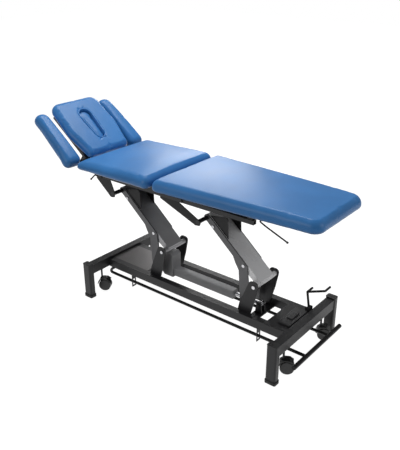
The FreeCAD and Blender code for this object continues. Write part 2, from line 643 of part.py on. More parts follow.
# Lift arms, drawn along the arm: -X runs from the base pivot up to the top pivot.
def lift_arm(name, pivot, crank):
    at = (pivot, "0", "PivotZ")
    body = new_body(name + "_arm_channel", at, tilt="ArmAngle")
    sketch = new_sketch(body, "XZ_Plane")
    outline(sketch, [("-ArmLength - 12", "-ArmLow"), ("-ArmLength - 12", "ArmTop"), ("0", "ArmTop"),
                     ("12", "6"), ("12", "-8"), ("-60", "-ArmLow")])
    pad(body, sketch, "2 * ArmHalf", middle=True)
    sketch = new_sketch(body, "XZ_Plane")
    outline(sketch, [("-ArmLength - 40", "-ArmLow - 20"), ("-ArmLength - 40", "ArmTop - WebThick"),
                     ("-6", "ArmTop - WebThick"), ("30", "-20"), ("30", "-ArmLow - 20")])
    pocket(body, sketch, "2 * (ArmHalf - WebThick)", middle=True)
    for radius, place, length in (("Sleeve - 3", "0", "2 * (RailY - RailWide / 2 - BracketThick - RestGap)"),
                                  ("Sleeve", "-ArmLength", "2 * ArmHalf")):
        sketch = new_sketch(body, "XZ_Plane")
        ring(sketch, place, "0", radius)
        pad(body, sketch, length, middle=True)
    for radius, place in (("ShaftRadius", "0"), ("TopPin", "-ArmLength")):
        sketch = new_sketch(body, "XZ_Plane")
        ring(sketch, place, "0", radius + " + RunClear")
        pocket(body, sketch, middle=True)
    sketch = new_sketch(body, "XZ_Plane")
    ring(sketch, "-KneeAlong", "2", "BoltShank")
    ring(sketch, "-ArmLength + UpperBolt", "-4", "BoltShank")
    pocket(body, sketch, middle=True)

    body = new_body(name + "_arm_plates", at, tilt="ArmAngle")
    sketch = new_sketch(body, "XZ_Plane", "ArmHalf")
    outline(sketch, [("-ArmLength", "ArmTop - 2"), ("-KneeAlong + 14", "ArmTop - 2"), ("-KneeAlong + 30", "6"),
                     ("-30", "-54"), ("2", "-112"), ("CrankAlong + 21", "-CrankDrop + 8"),
                     ("CrankAlong + 8", "-CrankDrop - 20"), ("CrankAlong - 20", "-CrankDrop - 8"),
                     ("-20", "-152"), ("-KneeAlong", "-46"), ("-KneeAlong - 42", "-33"),
                     ("-KneeAlong - 80", "-ArmLow"), ("-ArmLength", "-ArmLow")])
    features = [pad(body, sketch, "ArmPlate")]
    rounds = [("-ArmLength", "0", "ArmTop - 2"), ("CrankAlong", "-CrankDrop", "CrankRound")]
    for across, up, radius in rounds:
        sketch = new_sketch(body, "XZ_Plane", "ArmHalf")
        ring(sketch, across, up, radius)
        features.append(pad(body, sketch, "ArmPlate"))
    sketch = new_sketch(body, "XZ_Plane", "ArmHalf")
    ring(sketch, "-ArmLength", "0", "TopPin + RunClear")
    ring(sketch, "-KneeAlong", "2", "BoltShank")
    ring(sketch, "-ArmLength + UpperBolt", "-4", "BoltShank")
    features.append(pocket(body, sketch, "ArmPlate", back=True))
    if crank:
        sketch = new_sketch(body, "XZ_Plane", "MotorHalf + RestGap")
        ring(sketch, "CrankAlong", "-CrankDrop", "CrankBoss")
        features.append(pad(body, sketch, "ArmHalf - MotorHalf - RestGap"))
    mirror(body, features)

    body = new_body(name + "_arm_bolts", at, tilt="ArmAngle")
    features = []
    for across, up in (("-KneeAlong", "2"), ("-ArmLength + UpperBolt", "-4")):
        sketch = new_sketch(body, "XZ_Plane", "ArmHalf - WebThick")
        ring(sketch, across, up, "BoltShank")
        features.append(pad(body, sketch, "WebThick + ArmPlate"))
        sketch = new_sketch(body, "XZ_Plane", "ArmHalf + ArmPlate")
        ring(sketch, across, up, "BoltFace")
        features.append(pad(body, sketch, "5"))
    mirror(body, features)

    body = new_body(name + "_arm_gussets", at, tilt="ArmAngle")
    sketch = new_sketch(body, "XZ_Plane", "ArmHalf - 5")
    outline(sketch, [("-ArmLength + 6", "ArmTop"), ("-ArmLength + 78", "ArmTop + GussetHigh"),
                     ("-ArmLength + 92", "ArmTop + GussetHigh - 4"), ("-ArmLength + 167", "ArmTop")])
    gusset = pad(body, sketch, "5")
    mirror(body, [gusset])


# The two lugs on either side of a gas spring's eye, as offsets of their sketches.
LUG_SIDES = ("SpringEye / 2 + RestGap", "-(SpringEye / 2 + RestGap + SpringLug)")

# Top frame, which stays level while the lift arms turn.
TOP_X = "- ArmLength * cos(ArmAngle * 1 deg)"
TOP_Z = "(PivotZ + ArmLength * sin(ArmAngle * 1 deg))"


def top_frame():
    body = new_body("frame_rails")
    sketch = new_sketch(body, "YZ_Plane", "FrameStart")
    box_outline(sketch, "-FrameY - FrameWide / 2", "-FrameY + FrameWide / 2", "FrameLow", "FrameLow + FrameHigh")
    box_outline(sketch, "-FrameY - FrameWide / 2 + TubeWall", "-FrameY + FrameWide / 2 - TubeWall",
                "FrameLow + TubeWall", "FrameLow + FrameHigh - TubeWall")
    rail = pad(body, sketch, "FrameEnd - FrameStart")
    sketch = new_sketch(body, "XY_Plane", "FrameLow + FrameHigh")
    box_outline(sketch, "FrameEnd - 40", "FrameEnd - 12", "-FrameY - 8", "-FrameY + 8")
    stop = pad(body, sketch, "LegFrameLow - RestGap - FrameLow - FrameHigh")
    mirror(body, [rail, stop])

    inner = "FrameY - FrameWide / 2"
    body = new_body("frame_cross_members")
    for place in ("HeadSpringX + 22", "-390", "LegSpringX - 20", "350"):
        sketch = new_sketch(body, "XY_Plane", "FrameLow")
        box_outline(sketch, place + " - 12", place + " + 12", "-(%s)" % inner, inner)
        pad(body, sketch, "FrameHigh - 2")
    for pivot in ("HeadPivotX", "FootPivotX"):
        sketch = new_sketch(body, "XZ_Plane")
        ring(sketch, pivot + TOP_X, TOP_Z, "TopPin")
        pad(body, sketch, "2 * (FrameY + 3)", middle=True)
    for place, level, left, right in (("LegSpringX", "LegSpringZ", "-8", "9"),
                                      ("HeadSpringX", "HeadSpringZ", "-9", "10")):
        for side in LUG_SIDES:
            sketch = new_sketch(body, "XZ_Plane", side)
            box_outline(sketch, "%s + %s" % (place, left), "%s + %s" % (place, right), level + " - 9",
                        "FrameLow + FrameHigh - 2")
            pad(body, sketch, "SpringLug")
        sketch = new_sketch(body, "XZ_Plane")
        ring(sketch, place, level, "SpringPin")
        pad(body, sketch, "SpringEye + 2 * SpringLug", middle=True)

    body = new_body("frame_struts")
    pads = []
    for pivot, back, front in (("HeadPivotX", "-128", "-16"), ("FootPivotX", "-268", "-150")):
        centre = pivot + TOP_X
        sketch = new_sketch(body, "XZ_Plane", "FrameY - 3")
        outline(sketch, [(centre + " + (%s)" % back, "FrameLow"), (centre + " + (%s)" % back, "FrameLow - 16"),
                         (centre + " - 14", TOP_Z + " - 22"), (centre + " + 14", TOP_Z + " - 18"),
                         (centre + " + 22", TOP_Z + " + 6"), (centre + " + (%s)" % front, "FrameLow")])
        ring(sketch, centre, TOP_Z, "TopPin")
        pads.append(pad(body, sketch, "6"))
    mirror(body, pads)

    outer = "FrameY + FrameWide / 2"
    body = new_body("hinge_plates")
    sketch = new_sketch(body, "XZ_Plane", outer)
    outline(sketch, [("LegHingeX - 10", "FrameLow + 2"), ("LegHingeX + 30", "FrameLow + 2"),
                     ("LegHingeX + 7.5", "LegHingeZ - 6"), ("LegHingeX + 7.5", "LegHingeZ"),
                     ("LegHingeX", "LegHingeZ + 7.5"), ("LegHingeX - 7.5", "LegHingeZ"),
                     ("LegHingeX - 9", "LegHingeZ - 8")])
    ring(sketch, "LegHingeX", "LegHingeZ", "HingePin")
    pads = [pad(body, sketch, "LugThick")]
    sketch = new_sketch(body, "XZ_Plane", outer)
    outline(sketch, [("FrameStart", "FrameLow + 2"), ("FrameStart + 50", "FrameLow + 2"),
                     ("FrameStart + 30", "FrameLow + 30"), ("HeadHingeX + 12", "HeadHingeZ + 6"),
                     ("HeadHingeX + 4", "HeadHingeZ + 12"), ("HeadHingeX - 8", "HeadHingeZ + 10"),
                     ("HeadHingeX - 13", "HeadHingeZ - 2"), ("HeadHingeX - 6", "HeadHingeZ - 12")])
    ring(sketch, "HeadHingeX", "HeadHingeZ", "HingePin")
    pads.append(pad(body, sketch, "LugThick"))
    mirror(body, pads)

    body = new_body("hinge_pins")
    pads = []
    for across, up in (("LegHingeX", "LegHingeZ"), ("HeadHingeX", "HeadHingeZ")):
        sketch = new_sketch(body, "XZ_Plane", "FrameY - 14")
        ring(sketch, across, up, "HingePin")
        pads.append(pad(body, sketch, "FrameWide / 2 + LugThick + 16"))
    mirror(body, pads)

    blocks("mid_section_frame", [("FrameStart + 8", "MidEnd - 36", "-FrameY - SectionWide / 2",
                                  "-FrameY + SectionWide / 2", "FrameLow + FrameHigh", "CushionLow - RestGap")], True)


def plan_cushion(label, corners, low, high, sharp_rounds, at=("0", "0", "0"), tilt=None, edge_round="PadRound",
                 hole=None):
    body = new_body(label, at, tilt)
    sketch = new_sketch(body, "XY_Plane", low)
    outline(sketch, corners)
    pad(body, sketch, "(%s) - (%s)" % (high, low))
    for radius, places in sharp_rounds:
        round_edges(body, radius, at_corners("z", places))
    for level in (high, low):
        round_edges(body, edge_round, at_height(level))
    if hole:
        sketch = new_sketch(body, "XY_Plane", low)
        outline(sketch, hole)
        pocket(body, sketch, back=True)
        round_edges(body, "20", at_corners("z", hole))
    return body


def cushions():
    high = "CushionLow + PadThick"
    seam = "MidEnd + SeamGap"
    plan_cushion("mid_cushion", [("MidStart", "-MidHalf + 6"), ("MidEnd", "-MidHalf"), ("MidEnd", "MidHalf"),
                                 ("MidStart", "MidHalf - 6")], "CushionLow", high, [])
    tip = [("LegEnd", "-LegTip"), ("LegEnd", "LegTip")]
    plan_cushion("leg_cushion", [(seam, "-LegHalf")] + tip + [(seam, "LegHalf")], "CushionLow", high,
                 [("CornerRound", tip)])


def leg_section():
    rail = ("LegHingeX - 10", "LegFrameEnd", "-FrameY - SectionWide / 2", "-FrameY + SectionWide / 2",
            "LegFrameLow", "CushionLow - RestGap")
    body = blocks("leg_section_frame", [rail], True)
    for place in ("LegLugX - 12", "LegFrameEnd - 24"):
        sketch = new_sketch(body, "XY_Plane", "LegFrameLow + 4")
        box_outline(sketch, place, place + " + 24", "-FrameY", "FrameY")
        pad(body, sketch, "CushionLow - RestGap - LegFrameLow - 4")
    for side in LUG_SIDES:
        sketch = new_sketch(body, "XZ_Plane", side)
        box_outline(sketch, "LegLugX - 9", "LegLugX + 9", "LegLugZ - 10", "LegFrameLow + 4")
        pad(body, sketch, "SpringLug")
    sketch = new_sketch(body, "XZ_Plane")
    ring(sketch, "LegHingeX", "LegHingeZ", "HingePin + RunClear")
    pocket(body, sketch, middle=True)


# Head section, drawn along its own slope: -X runs from its hinge to its outer end.
def head_section():
    at = ("HeadHingeX", "0", "HeadHingeZ")
    top = "HeadTop - HeadThick - RestGap"
    rail = ("-HeadStart - HeadLong + 40", "10", "-HeadFrameY - SectionWide / 2", "-HeadFrameY + SectionWide / 2",
            top + " - HeadRailHigh", top)
    body = blocks("head_section_frame", [rail], True, at, "HeadTilt")
    for place in ("-HeadLug - 11", "-HeadStart - HeadLong + 40"):
        sketch = new_sketch(body, "XY_Plane", top + " - HeadRailHigh + 4")
        box_outline(sketch, place, place + " + 22", "-HeadFrameY", "HeadFrameY")
        pad(body, sketch, "HeadRailHigh - 4")
    for side in LUG_SIDES:
        sketch = new_sketch(body, "XZ_Plane", side)
        box_outline(sketch, "-HeadLug - 11", "-HeadLug + 11", "-HeadLugDrop - 10", top + " - HeadRailHigh + 4")
        pad(body, sketch, "SpringLug")
    for side in ("HeadFrameY + SectionWide / 2", "-(HeadFrameY + SectionWide / 2 + 6)"):
        sketch = new_sketch(body, "XZ_Plane", side)
        outline(sketch, [("-RestPivot - 14", top), ("-RestPivot + 14", top), ("-RestPivot + 12", "-48"),
                         ("-RestPivot - 12", "-48")])
        pad(body, sketch, "6")
    sketch = new_sketch(body, "XZ_Plane")
    ring(sketch, "0", "0", "HingePin + RunClear")
    pocket(body, sketch, middle=True)
    sketch = new_sketch(body, "XZ_Plane")
    ring(sketch, "-RestPivot", "-35", "RestRod + RunClear")
    pocket(body, sketch, middle=True)

    start = "-HeadStart"
    end = "-HeadStart - HeadLong"
    low = [(start, "-HeadLowHalf"), (start, "HeadLowHalf")]
    mid = [("-172", "-HeadMidHalf"), ("-172", "HeadMidHalf")]
    far = [(end, "HeadEndHalf"), (end, "-HeadEndHalf")]
    slot = [("-SlotStart", "-SlotNarrow / 2"), ("-SlotStart", "SlotNarrow / 2"),
            ("-SlotStart - SlotLong", "SlotWide / 2"), ("-SlotStart - SlotLong", "-SlotWide / 2")]
    plan_cushion("head_cushion", [low[0], low[1], mid[1], far[0], far[1], mid[0]], "HeadTop - HeadThick",
                 "HeadTop", [("30", low), ("CornerRound", far), ("150", mid)], at, "HeadTilt", "26", slot)
    plug = [("-SlotStart - 1", "-SlotNarrow / 2 + 1"), ("-SlotStart - 1", "SlotNarrow / 2 - 1"),
            ("-SlotStart - SlotLong + 1", "SlotWide / 2 - 1"), ("-SlotStart - SlotLong + 1", "-SlotWide / 2 + 1")]
    body = new_body("nose_plug", at, "HeadTilt")
    sketch = new_sketch(body, "XY_Plane", "HeadTop - HeadThick + 4")
    outline(sketch, plug)
    pad(body, sketch, "HeadThick - PlugSink - 4")
    round_edges(body, "19", at_corners("z", plug))
    round_edges(body, "8", at_height("HeadTop - PlugSink"))


def armrests():
    at = ("HeadHingeX", "0", "HeadHingeZ")
    for name, sign in (("near", "-"), ("far", "")):
        inner = sign + " RestInner"
        outer = sign + " RestOuter"
        corners = [("-RestStart", inner), ("-RestStart", outer), ("-RestStart - RestLong", sign + " (RestOuter - 20)"),
                   ("-RestStart - RestLong", inner)]
        plan_cushion("armrest_cushion_" + name, corners, "RestTop - RestThick", "RestTop",
                     [("34", corners)], at, "HeadTilt", "22")
        low = "RestTop - RestThick - RestGap"
        body = new_body("armrest_bracket_" + name, at, "HeadTilt")
        sketch = new_sketch(body, "XY_Plane", low + " - 3")
        box_outline(sketch, "-RestPivot - 180", "-RestPivot + 16", sign + " (RestInner + 45)",
                    sign + " (RestInner + 80)")
        pad(body, sketch, "3")
        depth = "HeadFrameY - SectionWide / 2 - 6" if sign == "-" else "-(RestInner + 80)"
        sketch = new_sketch(body, "XZ_Plane", depth)
        ring(sketch, "-RestPivot", "-35", "RestRod")
        pad(body, sketch, "RestInner + 80 - (HeadFrameY - SectionWide / 2 - 6)")


# Gas springs: the cylinder is pinned to the top frame and the rod's flat eye runs between two lugs.
# The cylinder starts after its neck, so that its eye can turn between the lugs.
def gas_spring(name, base, lug, neck, cylinder_long, rod_start):
    base_x, base_z = base
    lug_x, lug_z = lug
    run = "sqrt(pow(%s - (%s); 2) + pow(%s - (%s); 2))" % (lug_x, base_x, lug_z, base_z)
    rise = "atan2(%s - (%s); (%s) - (%s))" % (lug_z, base_z, base_x, lug_x)
    body = new_body(name + "_spring_cylinder", (base_x, "0", base_z), tilt=rise)
    sketch = new_sketch(body, "XZ_Plane")
    ring(sketch, "0", "0", "9")
    pad(body, sketch, "SpringEye", middle=True)
    sketch = new_sketch(body, "YZ_Plane", "-(%s)" % cylinder_long)
    ring(sketch, "0", "0", "SpringRadius")
    pad(body, sketch, "%s - %s" % (cylinder_long, neck))
    sketch = new_sketch(body, "YZ_Plane", "-(%s) - 4" % neck)
    ring(sketch, "0", "0", "4")
    pad(body, sketch, neck)
    sketch = new_sketch(body, "XZ_Plane")
    ring(sketch, "0", "0", "SpringPin + RunClear")
    pocket(body, sketch, middle=True)
    sketch = new_sketch(body, "YZ_Plane", "-(%s) - 1" % cylinder_long)
    ring(sketch, "0", "0", "SpringRod + RunClear")
    pocket(body, sketch, "%s - %s - 3" % (cylinder_long, neck), back=True)
    body = new_body(name + "_spring_rod", (base_x, "0", base_z), tilt=rise)
    sketch = new_sketch(body, "YZ_Plane", "-(%s)" % run)
    ring(sketch, "0", "0", "SpringRod")
    pad(body, sketch, "%s - %s" % (run, rod_start))
    sketch = new_sketch(body, "XZ_Plane")
    ring(sketch, "-(%s)" % run, "0", "9")
    pad(body, sketch, "SpringEye", middle=True)


def springs():
    gas_spring("leg", ("LegSpringX", "LegSpringZ"), ("LegLugX", "LegLugZ"), "30", "165", "36")
    lug_x = "HeadHingeX - HeadLug * cos(HeadTilt * 1 deg) - HeadLugDrop * sin(HeadTilt * 1 deg)"
    lug_z = "HeadHingeZ + HeadLug * sin(HeadTilt * 1 deg) - HeadLugDrop * cos(HeadTilt * 1 deg)"
    gas_spring("head", ("HeadSpringX", "HeadSpringZ"), (lug_x, lug_z), "16", "116", "88")


def actuator():
    crank_x = "(HeadPivotX + CrankAlong * cos(ArmAngle * 1 deg) - CrankDrop * sin(ArmAngle * 1 deg))"
    crank_z = "(PivotZ - CrankAlong * sin(ArmAngle * 1 deg) - CrankDrop * cos(ArmAngle * 1 deg))"
    body = new_body("actuator_motor")
    sketch = new_sketch(body, "YZ_Plane", "MotorEnd - 20")
    box_outline(sketch, "-TubeHalf", "TubeHalf", "ScrewZ - TubeHalf", "ScrewZ + TubeHalf")
    pad(body, sketch, "TubeEnd - MotorEnd + 20")
    round_edges(body, "8", lambda edge: along(edge, "x"))
    sketch = new_sketch(body, "XZ_Plane")
    outline(sketch, [("MotorStart", "206"), ("MotorStart", "300"), ("MotorStart + 16", "334"),
                     ("MotorEnd - 16", "340"), ("MotorEnd", "326"), ("MotorEnd", "184"), ("MotorStart + 20", "184")])
    pad(body, sketch, "2 * MotorHalf", middle=True)
    round_edges(body, "5", lambda edge: not along(edge, "y") and abs(edge.Vertexes[0].Point.y) > num("MotorHalf") - 1)
    sketch = new_sketch(body, "XZ_Plane")
    outline(sketch, [(crank_x, "209"), ("MotorStart + 4", "209"), ("MotorStart + 4", "226"), (crank_x, "226")])
    pad(body, sketch, "60", middle=True)
    sketch = new_sketch(body, "XZ_Plane")
    ring(sketch, crank_x, crank_z, "12")
    pad(body, sketch, "2 * MotorHalf", middle=True)
    sketch = new_sketch(body, "YZ_Plane", "-160")
    ring(sketch, "0", "ScrewZ", "RodRadius + RunClear")
    pocket(body, sketch, "TubeEnd + 161", back=True)
    body = new_body("actuator_rod")
    sketch = new_sketch(body, "YZ_Plane", "0")
    ring(sketch, "0", "ScrewZ", "RodRadius")
    pad(body, sketch, "ClevisX")
    sketch = new_sketch(body, "XZ_Plane")
    ring(sketch, "ClevisX", "ScrewZ", "14")
    pad(body, sketch, "24", middle=True)
    sketch = new_sketch(body, "XZ_Plane")
    ring(sketch, "ClevisX", "ScrewZ", "7 + RunClear")
    pocket(body, sketch, middle=True)


# A bent rod with a hub at its first end and a ball, turned along the rod, at its last.
def release_lever(label, points, bend, hub_long):
    rod = bent_rod(points, num("HandleRod"), bend)
    ball = Part.makeSphere(6, points[-1], points[-1] - points[-2])
    heading = (points[1] - points[0]).normalize()
    hub = cylinder(points[0], points[0] + heading * hub_long, 8)
    shaped(label, rod.fuse(ball).fuse(hub))


def release_levers():
    inner = "-FrameY - SectionWide / 2 - RestGap"
    release_lever("leg_release_lever", [spot("HandleX", inner, "HandleZ"), spot("HandleX", "-HandleY", "HandleZ"),
                                        spot("HandleX + 45", "-HandleY", "HandleZ - 20"),
                                        spot("HandleX + 162", "-HandleY", "HandleZ - 65")], 10, 15.7)
    inner = "-FrameY - FrameWide / 2 - LugThick - RestGap"
    release_lever("head_release_lever", [spot("CatchX", inner, "CatchZ"), spot("CatchX", inner + " - 18", "CatchZ"),
                                         spot("CatchX - 26", inner + " - 24", "CatchZ - 28")], 6, 8)


for build in (side_rails, end_cross_members, leg_posts, leg_caps, rubber_feet, lift_brackets, pivot_shafts,
              covers, foot_switch, foot_bar_hangers, castor_sockets, actuator_clevis, foot_bar, castor_lever, castors):
    build()
lift_arm("head", "HeadPivotX", True)
lift_arm("foot", "FootPivotX", False)
for build in (top_frame, cushions, leg_section, head_section, armrests, springs, actuator, release_levers):
    build()

doc.recompute()
os.makedirs("parts", exist_ok=True)
for piece in PIECES:
    if "Invalid" in piece.State or "Error" in piece.State:
        raise RuntimeError("%s: %s" % (piece.Label, piece.State))
    if piece.Shape.isNull() or not piece.Shape.isValid():
        raise RuntimeError("%s: no sound shape" % piece.Label)
    piece.Shape.exportStep("parts/%s.step" % piece.Label)
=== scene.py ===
import json
import math

import bmesh
import bpy
from mathutils import Matrix, Vector


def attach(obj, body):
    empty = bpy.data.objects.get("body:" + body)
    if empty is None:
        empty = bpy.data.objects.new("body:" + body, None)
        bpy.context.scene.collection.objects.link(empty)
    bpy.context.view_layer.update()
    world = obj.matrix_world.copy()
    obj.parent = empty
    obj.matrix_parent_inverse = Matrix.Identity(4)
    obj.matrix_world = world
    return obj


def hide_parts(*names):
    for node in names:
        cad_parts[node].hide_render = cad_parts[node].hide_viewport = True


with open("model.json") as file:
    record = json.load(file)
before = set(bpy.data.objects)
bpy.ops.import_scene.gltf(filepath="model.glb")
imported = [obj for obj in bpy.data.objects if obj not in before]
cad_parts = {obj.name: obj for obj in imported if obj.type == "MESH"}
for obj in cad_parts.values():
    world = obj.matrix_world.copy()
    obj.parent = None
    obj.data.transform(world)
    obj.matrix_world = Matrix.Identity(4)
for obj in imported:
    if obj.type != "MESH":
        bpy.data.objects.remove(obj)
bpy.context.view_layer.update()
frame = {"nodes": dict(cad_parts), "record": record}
nodes = frame["nodes"]
scene = bpy.context.scene

# Real sizes in metres, the same as the solids have. X counts from the middle of the base.
BASE_X = 0.12395
CUSHION_LOW = 0.837
PAD_THICK = 0.070
HEAD_HINGE = Vector((-0.766 + BASE_X, 0.0, 0.829))
HEAD_TILT = math.radians(38)
HEAD_TOP = 0.078
HEAD_THICK = 0.060
REST_TOP = 0.032
REST_PROUD = 0.012
REST_THICK = 0.055
MID_FALL = 0.024

# Camera of the photograph
CAMERA_PLACE = Vector((2.00781 + BASE_X, -2.519685, 2.0475))
CAMERA_TURN = math.radians(38.989)
CAMERA_DIP = math.radians(24.469)
FOCAL_PIXELS = 623.7
PICTURE_HIGH = 450

# Materials: how far the roughness varies, and the depth of the grain in metres
ROUGH_SPREAD = 0.06
GRAIN_DEPTH = 0.0006

# Share of white that the floor shows by itself, and the plain light of the surroundings
FLOOR_GLOW = 0.97
WORLD_LIGHT = 0.27


def make_camera():
    data = bpy.data.cameras.new("camera")
    data.sensor_fit = "VERTICAL"
    data.sensor_height = 36
    data.lens = FOCAL_PIXELS / PICTURE_HIGH * data.sensor_height
    camera = bpy.data.objects.new("camera", data)
    scene.collection.objects.link(camera)
    level = math.cos(CAMERA_DIP)
    back = Vector((math.sin(CAMERA_TURN) * level, -math.cos(CAMERA_TURN) * level, math.sin(CAMERA_DIP)))
    turn = (-back).to_track_quat("-Z", "Y").to_matrix().to_4x4()
    camera.matrix_world = Matrix.Translation(CAMERA_PLACE) @ turn
    scene.camera = camera


def make_lamp(name, place, aim, wide, high, power):
    data = bpy.data.lights.new(name, "AREA")
    data.shape = "RECTANGLE"
    data.size = wide
    data.size_y = high
    data.energy = power
    lamp = bpy.data.objects.new(name, data)
    scene.collection.objects.link(lamp)
    way = Vector(aim) - Vector(place)
    lamp.matrix_world = Matrix.Translation(place) @ way.to_track_quat("-Z", "Y").to_matrix().to_4x4()


# Short calls to build a node tree
class Tree:
    def __init__(self, material):
        material.use_nodes = True
        self.tree = material.node_tree
        self.tree.nodes.clear()

    def add(self, kind, **values):
        node = self.tree.nodes.new("ShaderNode" + kind)
        for key, value in values.items():
            setattr(node, key, value)
        return node

    def join(self, start, out, end, into):
        self.tree.links.new(start.outputs[out], end.inputs[into])


# Paint, plastic, metal or vinyl: colour that varies slowly over the surface, with a fine grain in relief.
def new_material(name, colour, rough, metal=0.0, spread=0.25, spread_scale=9, grain=0.12, grain_scale=700,
                 specular=0.5, stretch=(1, 1, 1), leather=False, tint=None):
    material = bpy.data.materials.new(name)
    work = Tree(material)
    place = work.add("TexCoord")
    mapping = work.add("Mapping")
    mapping.inputs["Scale"].default_value = stretch
    work.join(place, "Object", mapping, "Vector")
    broad = work.add("TexNoise")
    broad.inputs["Scale"].default_value = spread_scale
    broad.inputs["Detail"].default_value = 3
    work.join(place, "Object", broad, "Vector")
    ramp = work.add("ValToRGB")
    dark = [value * (1 - spread) for value in colour]
    light = [min(1.0, value * (1 + spread)) for value in (tint or colour)]
    ramp.color_ramp.elements[0].position = 0.3
    ramp.color_ramp.elements[0].color = (*dark, 1)
    ramp.color_ramp.elements[1].position = 0.7
    ramp.color_ramp.elements[1].color = (*light, 1)
    work.join(broad, "Fac", ramp, "Fac")
    if leather:
        fine = work.add("TexVoronoi", feature="DISTANCE_TO_EDGE")
    else:
        fine = work.add("TexNoise")
        fine.inputs["Detail"].default_value = 2
    fine.inputs["Scale"].default_value = grain_scale
    work.join(mapping, "Vector", fine, "Vector")
    bump = work.add("Bump")
    bump.inputs["Strength"].default_value = grain
    bump.inputs["Distance"].default_value = GRAIN_DEPTH
    work.join(fine, "Distance" if leather else "Fac", bump, "Height")
    span = work.add("MapRange")
    span.inputs["To Min"].default_value = max(0.02, rough - ROUGH_SPREAD)
    span.inputs["To Max"].default_value = min(1.0, rough + ROUGH_SPREAD)
    work.join(broad, "Fac", span, "Value")
    shader = work.add("BsdfPrincipled")
    shader.inputs["Metallic"].default_value = metal
    shader.inputs["Specular IOR Level"].default_value = specular
    work.join(ramp, "Color", shader, "Base Color")
    work.join(span, "Result", shader, "Roughness")
    work.join(bump, "Normal", shader, "Normal")
    out = work.add("OutputMaterial")
    work.join(shader, "BSDF", out, "Surface")
    return material


MATERIALS = {
    "vinyl": new_material("vinyl", (0.040, 0.207, 0.535), 0.34, spread=0.07, spread_scale=4, grain=0.10,
                          grain_scale=900, specular=0.38, leather=True, tint=(0.044, 0.222, 0.565)),
    "frame_paint": new_material("frame_paint", (0.022, 0.022, 0.024), 0.40, spread=0.15, grain=0.25,
                                grain_scale=900, specular=0.35),
    "arm_paint": new_material("arm_paint", (0.125, 0.125, 0.130), 0.34, metal=0.25, spread=0.12, grain=0.2,
                              grain_scale=900),
    "web_paint": new_material("web_paint", (0.34, 0.34, 0.35), 0.30, metal=0.5, spread=0.10, grain=0.15,
                              grain_scale=900),
    # Near-white copy of the web paint: a painted reflection, the light that the foot arm's steel web
    # mirrors is put into its colour.
    "painted_reflection_web_paint": new_material("painted_reflection_web_paint", (0.86, 0.86, 0.87), 0.28, metal=0.15, spread=0.06,
                                   grain_scale=900),
    "cover_paint": new_material("cover_paint", (0.095, 0.088, 0.088), 0.30, metal=0.2, spread=0.10,
                                grain=0.15, grain_scale=900),
    "base_cloth": new_material("base_cloth", (0.012, 0.012, 0.013), 0.85, spread=0.2, grain=0.7,
                               grain_scale=1500),
    "black_paint": new_material("black_paint", (0.012, 0.012, 0.013), 0.35, grain=0.2, grain_scale=800,
                                specular=0.22),
    "bright_steel": new_material("bright_steel", (0.55, 0.55, 0.57), 0.25, metal=1.0, grain_scale=300,
                                 stretch=(1, 12, 1)),
    "castor_black": new_material("castor_black", (0.014, 0.014, 0.015), 0.38, grain=0.2, grain_scale=1100),
    "black_plastic": new_material("black_plastic", (0.02, 0.02, 0.022), 0.45, grain=0.4, grain_scale=1400),
    "grey_plastic": new_material("grey_plastic", (0.36, 0.36, 0.37), 0.45, spread=0.08, grain=0.35,
                                 grain_scale=1300),
    "rubber": new_material("rubber", (0.012, 0.012, 0.012), 0.7, grain=0.4, grain_scale=900),
}


def dress(name, key):
    for slot in nodes[name].material_slots:
        slot.link = "OBJECT"
        slot.material = MATERIALS[key]


# Floor and surroundings: white where the camera meets them, the floor also where a reflection meets it and
# the surroundings where a ray passes through glass; plain light elsewhere.
def make_floor():
    mesh = bpy.data.meshes.new("floor")
    side = 14
    corners = [(-side, -side, 0), (side, -side, 0), (side, side, 0), (-side, side, 0)]
    mesh.from_pydata(corners, [], [(0, 1, 2, 3)])
    floor = bpy.data.objects.new("floor", mesh)
    scene.collection.objects.link(floor)
    material = bpy.data.materials.new("floor")
    work = Tree(material)
    shader = work.add("BsdfDiffuse")
    shader.inputs["Color"].default_value = (0.22, 0.22, 0.22, 1)
    glow = work.add("Emission")
    glow.inputs["Strength"].default_value = FLOOR_GLOW
    path = work.add("LightPath")
    seen = work.add("Math", operation="MAXIMUM")
    work.join(path, "Is Camera Ray", seen, 0)
    work.join(path, "Is Glossy Ray", seen, 1)
    dark = work.add("Emission")
    dark.inputs["Strength"].default_value = 0.0
    pick = work.add("MixShader")
    work.join(seen, "Value", pick, "Fac")
    work.join(dark, "Emission", pick, 1)
    work.join(glow, "Emission", pick, 2)
    both = work.add("AddShader")
    work.join(shader, "BSDF", both, 0)
    work.join(pick, "Shader", both, 1)
    out = work.add("OutputMaterial")
    work.join(both, "Shader", out, "Surface")
    mesh.materials.append(material)


def make_world():
    world = bpy.data.worlds.new("world")
    scene.world = world
    world.use_nodes = True
    tree = world.node_tree
    tree.nodes.clear()
    path = tree.nodes.new("ShaderNodeLightPath")
    seen = tree.nodes.new("ShaderNodeMath")
    seen.operation = "MAXIMUM"
    tree.links.new(path.outputs["Is Camera Ray"], seen.inputs[0])
    tree.links.new(path.outputs["Is Transmission Ray"], seen.inputs[1])
    plain = tree.nodes.new("ShaderNodeBackground")
    plain.inputs["Color"].default_value = (1, 1, 1, 1)
    plain.inputs["Strength"].default_value = WORLD_LIGHT
    white = tree.nodes.new("ShaderNodeBackground")
    white.inputs["Color"].default_value = (1, 1, 1, 1)
    white.inputs["Strength"].default_value = 1.0
    mix = tree.nodes.new("ShaderNodeMixShader")
    tree.links.new(seen.outputs[0], mix.inputs[0])
    tree.links.new(plain.outputs[0], mix.inputs[1])
    tree.links.new(white.outputs[0], mix.inputs[2])
    out = tree.nodes.new("ShaderNodeOutputWorld")
    tree.links.new(mix.outputs[0], out.inputs["Surface"])
    scene.view_settings.view_transform = "Standard"


